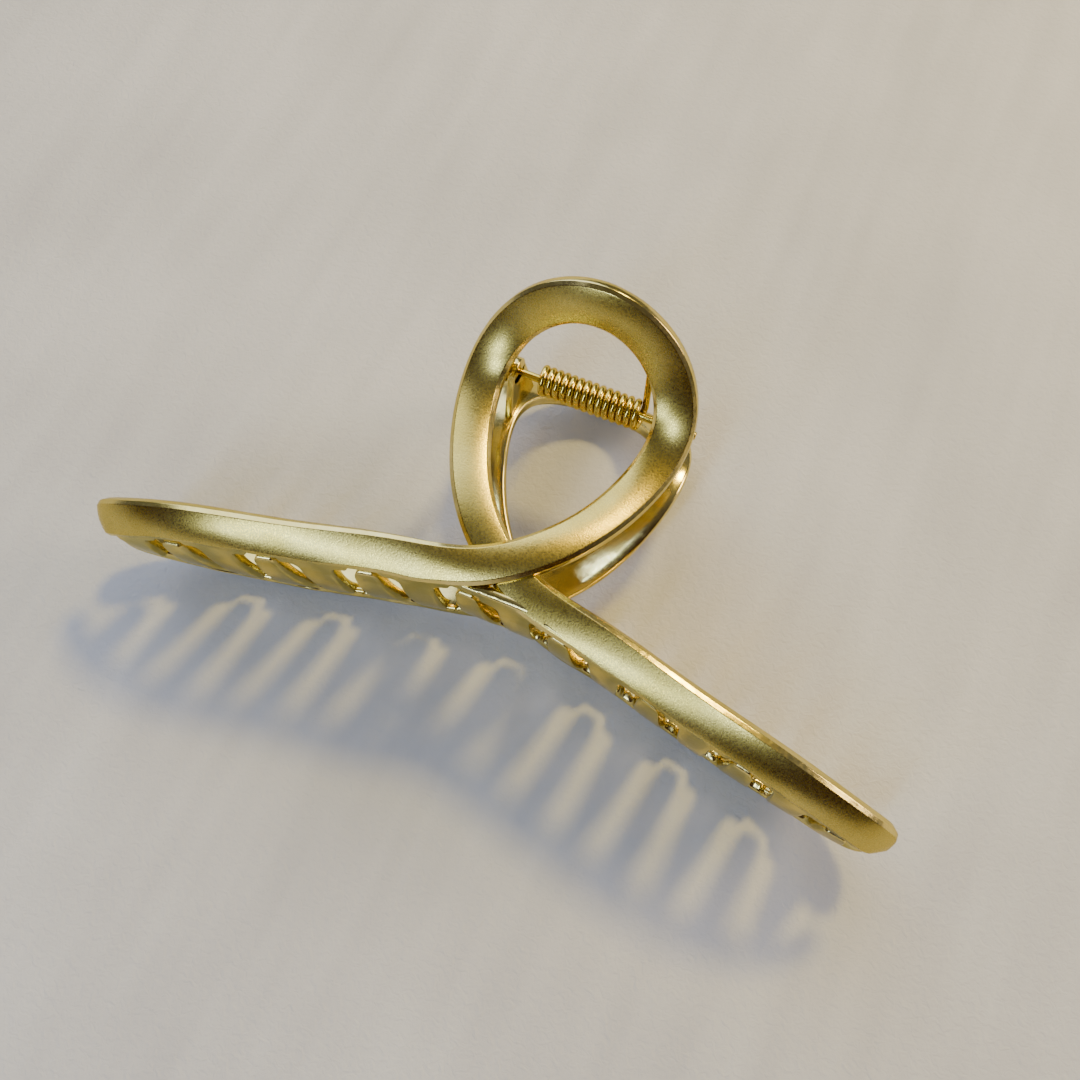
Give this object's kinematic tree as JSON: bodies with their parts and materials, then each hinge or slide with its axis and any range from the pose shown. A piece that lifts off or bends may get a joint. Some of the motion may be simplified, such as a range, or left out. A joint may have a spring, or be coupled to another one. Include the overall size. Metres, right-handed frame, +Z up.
{
  "type": "claw clip",
  "caption": "Metal hair claw with ribbon-shaped jaws, curved interlocking teeth, open loop handles, a hinge pin and a torsion spring that holds it closed.",
  "frame": {"origin": "middle of the underside of the bounding box, as the closed clip lies on its rear jaw", "axes": "+X along the hinge pin from arm tip to arm tip, +Y from the teeth toward the handles, +Z up, away from the surface it lies on"},
  "size_m": [0.1206, 0.0578, 0.0443],
  "materials": {
    "satin_gold_casting": "satin gold electroplate on zinc die-casting, polished edges and teeth",
    "polished_gold_pin": "polished gold electroplate on steel",
    "gold_spring_wire": "gold electroplate on drawn spring-steel wire"
  },
  "bodies": {
    "rear_half": {"rear_jaw": "satin_gold_casting", "hinge_pin": "polished_gold_pin", "torsion_spring": "gold_spring_wire"},
    "front_half": {"front_jaw": "satin_gold_casting"}
  },
  "joints": [
    {"name": "jaw_hinge", "type": "hinge", "parent": "rear_half", "child": "front_half", "pos_m": [0, 0.01713, 0.02098], "axis": [-1, 0, 0], "range_deg": [0, 50], "stiffness_Nm_per_rad": 0.15, "springref_deg": -57.3, "deforming": ["torsion_spring"]}
  ]
}
